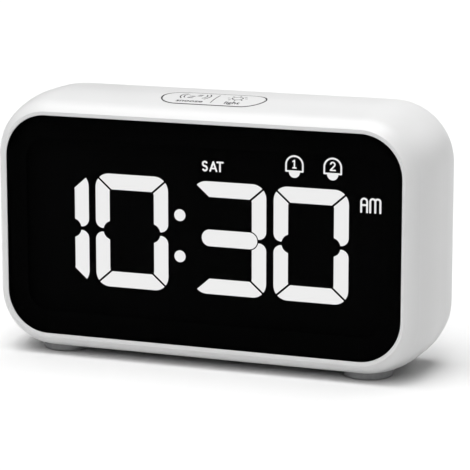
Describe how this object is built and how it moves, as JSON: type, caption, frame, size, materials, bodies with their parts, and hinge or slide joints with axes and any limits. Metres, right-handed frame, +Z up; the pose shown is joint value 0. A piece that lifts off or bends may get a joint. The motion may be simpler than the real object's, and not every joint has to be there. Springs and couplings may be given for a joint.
{
  "type": "digital alarm clock",
  "caption": "Rounded white tabletop digital alarm clock with a full black display window, a pill-shaped top key, rear keys and a hinged battery door.",
  "frame": {"origin": "under the middle of the body, on the surface that the feet stand on", "axes": "+X to the right seen from the display side, +Y from the display to the back, +Z up"},
  "size_m": [0.135, 0.0376, 0.0788],
  "materials": {
    "white_shell": "satin moulded ABS",
    "rear_key_plastic": "satin moulded ABS",
    "smoked_lens": "polished smoked acrylic",
    "black_print": "screen-printed border",
    "adhesive_foam": "thin foam tape",
    "lit_white": "lit LCD segments",
    "lcd_black": "dark polariser film",
    "lcd_glass": "LCD glass",
    "optical_film": "frosted film",
    "clear_acrylic": "clear acrylic",
    "led_package": "LED package",
    "frame_plastic": "plain moulded ABS",
    "contact_rubber": "striped elastomer",
    "circuit_board": "green solder mask",
    "chip_resin": "moulded epoxy with tinned legs",
    "bright_can": "drawn can",
    "capacitor_sleeve": "printed sleeve",
    "screw_steel": "zinc-plated",
    "switch_plastic": "moulded switch body",
    "plunger_plastic": "moulded plunger",
    "ribbon_film": "flat ribbon cable",
    "cell_sleeve": "AAA cell in a plain printed sleeve",
    "nickel_contact": "nickel-plated spring steel",
    "lead_insulation": "PVC insulation",
    "buzzer_plastic": "moulded case",
    "foot_rubber": "soft grey rubber",
    "liner_rubber": "soft black rubber"
  },
  "bodies": {
    "case": {"backlight_diffuser": "optical_film", "backlight_leds": "led_package", "backlight_reflector": "optical_film", "battery_1": "cell_sleeve", "battery_2": "cell_sleeve", "battery_3": "cell_sleeve", "battery_leads": "lead_insulation", "board_screws": "screw_steel", "buzzer": "buzzer_plastic", "buzzer_leads": "lead_insulation", "capacitors": "capacitor_sleeve", "contact_strip": "contact_rubber", "controller_chip": "chip_resin", "cover_screws": "screw_steel", "crystal": "bright_can", "front_feet": "foot_rubber", "front_lens": "smoked_lens", "housing": "white_shell", "key_board": "circuit_board", "key_board_screws": "screw_steel", "key_ribbon": "ribbon_film", "key_switches": "switch_plastic", "lcd_cell": "lcd_glass", "lcd_frame": "frame_plastic", "lcd_front_polariser": "lcd_black", "lcd_rear_polariser": "optical_film", "lens_border": "black_print", "lens_tape": "adhesive_foam", "light_guide": "clear_acrylic", "lit_am": "lit_white", "lit_bells": "lit_white", "lit_colon": "lit_white", "lit_digits": "lit_white", "lit_weekday": "lit_white", "main_board": "circuit_board", "positive_contacts": "nickel_contact", "rear_cover": "white_shell", "rear_feet": "foot_rubber", "snooze_board": "circuit_board", "snooze_board_screws": "screw_steel", "snooze_liner": "liner_rubber", "snooze_ribbon": "ribbon_film", "snooze_switch": "switch_plastic", "spring_contacts": "nickel_contact"},
    "snooze_button": {"snooze_key": "white_shell", "snooze_plunger": "plunger_plastic"},
    "battery_lid": {"battery_door": "white_shell"},
    "button_mode": {"key_mode": "rear_key_plastic", "plunger_mode": "plunger_plastic"},
    "button_up": {"key_up": "rear_key_plastic", "plunger_up": "plunger_plastic"},
    "button_down": {"key_down": "rear_key_plastic", "plunger_down": "plunger_plastic"},
    "button_alarm_1": {"key_alarm_1": "rear_key_plastic", "plunger_alarm_1": "plunger_plastic"},
    "button_alarm_2": {"key_alarm_2": "rear_key_plastic", "plunger_alarm_2": "plunger_plastic"}
  },
  "joints": [
    {"name": "snooze_press", "type": "slide", "parent": "case", "child": "snooze_button", "axis": [0, 0, -1], "range_m": [0, 0.0008], "stiffness_N_per_m": 1500, "springref_m": -0.0003},
    {"name": "mode_press", "type": "slide", "parent": "case", "child": "button_mode", "axis": [0, -1, 0], "range_m": [0, 0.0005], "stiffness_N_per_m": 1500, "springref_m": -0.0002},
    {"name": "up_press", "type": "slide", "parent": "case", "child": "button_up", "axis": [0, -1, 0], "range_m": [0, 0.0005], "stiffness_N_per_m": 1500, "springref_m": -0.0002},
    {"name": "down_press", "type": "slide", "parent": "case", "child": "button_down", "axis": [0, -1, 0], "range_m": [0, 0.0005], "stiffness_N_per_m": 1500, "springref_m": -0.0002},
    {"name": "alarm_1_press", "type": "slide", "parent": "case", "child": "button_alarm_1", "axis": [0, -1, 0], "range_m": [0, 0.0005], "stiffness_N_per_m": 1500, "springref_m": -0.0002},
    {"name": "alarm_2_press", "type": "slide", "parent": "case", "child": "button_alarm_2", "axis": [0, -1, 0], "range_m": [0, 0.0005], "stiffness_N_per_m": 1500, "springref_m": -0.0002},
    {"name": "battery_lid_hinge", "type": "hinge", "parent": "case", "child": "battery_lid", "pos_m": [0, 0.01875, 0.01075], "axis": [-1, 0, 0], "range_deg": [0, 75]}
  ]
}
